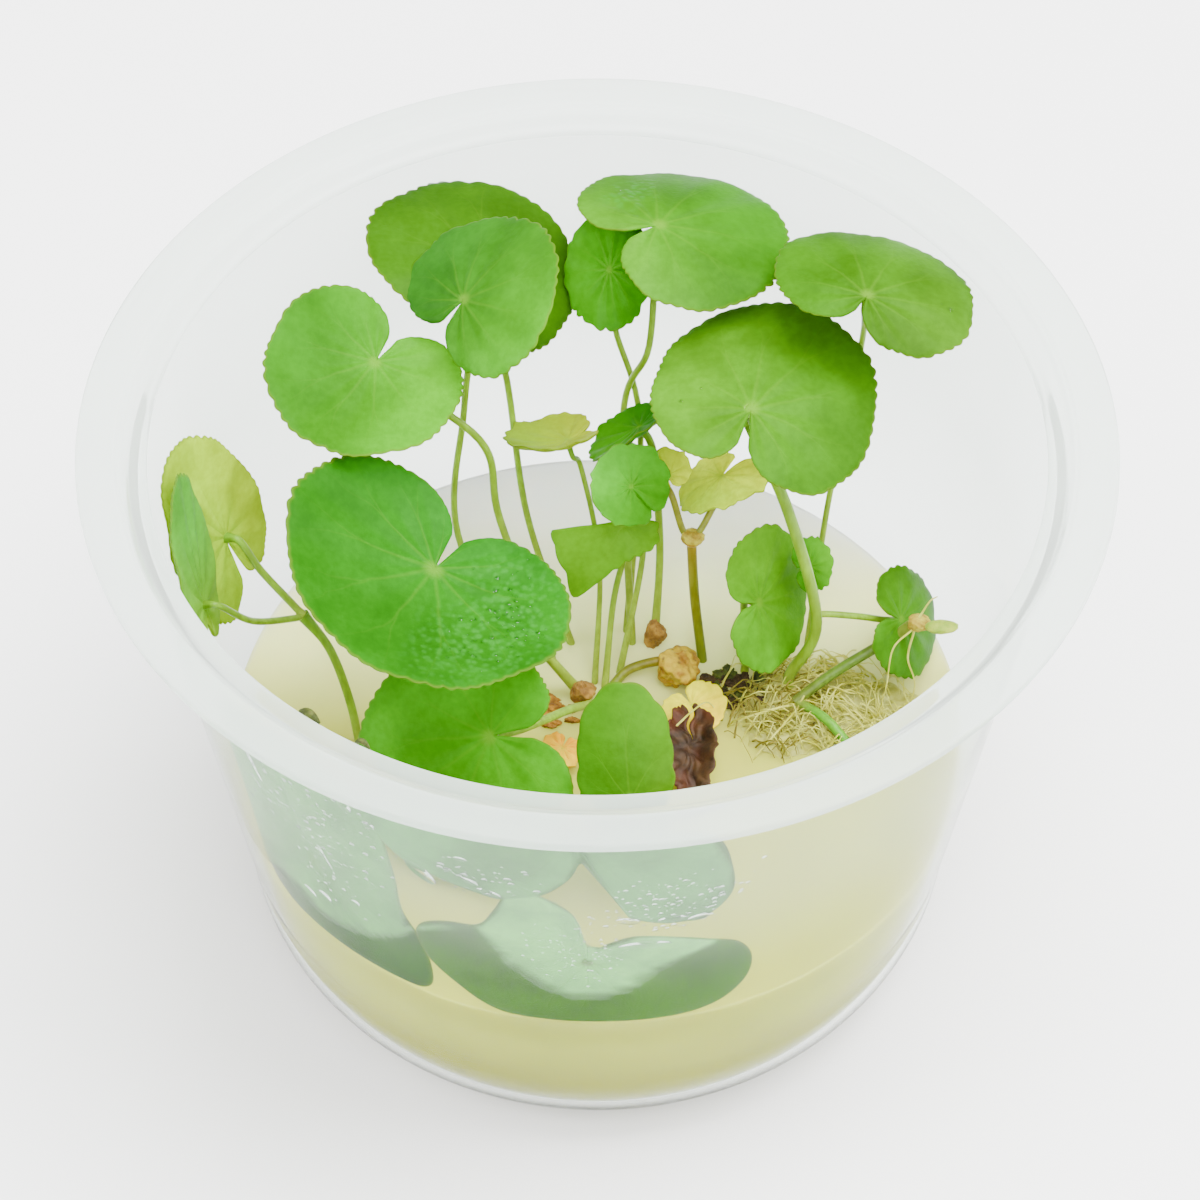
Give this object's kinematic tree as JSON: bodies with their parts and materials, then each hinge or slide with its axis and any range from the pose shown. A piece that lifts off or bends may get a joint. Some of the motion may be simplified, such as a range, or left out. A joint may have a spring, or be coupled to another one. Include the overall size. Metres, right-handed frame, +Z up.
{
  "type": "brazilian pennywort plantlet in a tissue culture cup",
  "caption": "Young round-leaved aquarium plant on thin stalks, rooted in a disc of set gel in a thin tapered plastic cup with a flanged mouth.",
  "frame": {"origin": "centre of the cup's flat base", "axes": "+Z up along the cup's axis; -Y is the front, towards the leaf that lies against the cup's front wall"},
  "size_m": [0.1, 0.1, 0.0743],
  "materials": {
    "cup_plastic": "thin milky translucent polypropylene with fine drops of condensation inside",
    "gel": "set culture gel, cloudy cream and moist",
    "leaf_green": "living leaf, thin, waxy, with pale radiating veins and a scalloped edge",
    "leaf_pale": "young or yellowing leaf, thin and translucent",
    "stalk_green": "smooth pale green stalk",
    "stem_brown": "yellow-brown stem and bud sheath",
    "callus": "cream to orange, finely grainy",
    "leaf_dead": "dead leaf, dark red-brown and wrinkled",
    "root": "fine cream roots"
  },
  "bodies": {
    "root": {"bud_right": "leaf_pale", "callus": "callus", "cup": "cup_plastic", "gel": "gel", "leaf_back_left": "leaf_green", "leaf_back_near": "leaf_green", "leaf_behind_stalk": "leaf_green", "leaf_brown": "leaf_dead", "leaf_centre_small": "leaf_green", "leaf_dark_back": "leaf_green", "leaf_edge_on": "leaf_pale", "leaf_far_left": "leaf_pale", "leaf_far_left_near": "leaf_green", "leaf_far_right": "leaf_green", "leaf_front_large": "leaf_green", "leaf_front_low": "leaf_green", "leaf_front_oval": "leaf_green", "leaf_kidney_right": "leaf_green", "leaf_low_bright": "leaf_green", "leaf_right_large": "leaf_green", "leaf_scrap": "leaf_pale", "leaf_small_folded": "leaf_green", "leaf_top_centre": "leaf_green", "leaf_top_right": "leaf_green", "leaf_upper_left": "leaf_green", "leaf_wall_front": "leaf_green", "leaf_wall_left": "leaf_green", "leaf_yellow": "leaf_pale", "leaf_young_left": "leaf_pale", "leaf_young_right": "leaf_pale", "node_right": "stem_brown", "root_mat": "root", "runner_left": "stalk_green", "runner_right": "stalk_green", "runner_right_front": "stalk_green", "sheath_left": "stem_brown", "sheath_right": "stem_brown", "stalk_back_left": "stalk_green", "stalk_back_near": "stalk_green", "stalk_centre_small": "stalk_green", "stalk_dark_back": "stalk_green", "stalk_edge_on": "stalk_green", "stalk_far_left": "stalk_green", "stalk_far_left_near": "stalk_green", "stalk_far_right": "stalk_green", "stalk_front_large": "stalk_green", "stalk_front_low": "stalk_green", "stalk_front_oval": "stalk_green", "stalk_kidney_right": "stalk_green", "stalk_low_bright": "stalk_green", "stalk_right_large": "stalk_green", "stalk_small_folded": "stalk_green", "stalk_top_centre": "stalk_green", "stalk_top_right": "stalk_green", "stalk_upper_left": "stalk_green", "stalk_wall_front": "stalk_green", "stalk_wall_left": "stalk_green", "stalk_young_left": "stalk_green", "stalk_young_right": "stalk_green", "stem_upright": "stem_brown"}
  },
  "joints": []
}
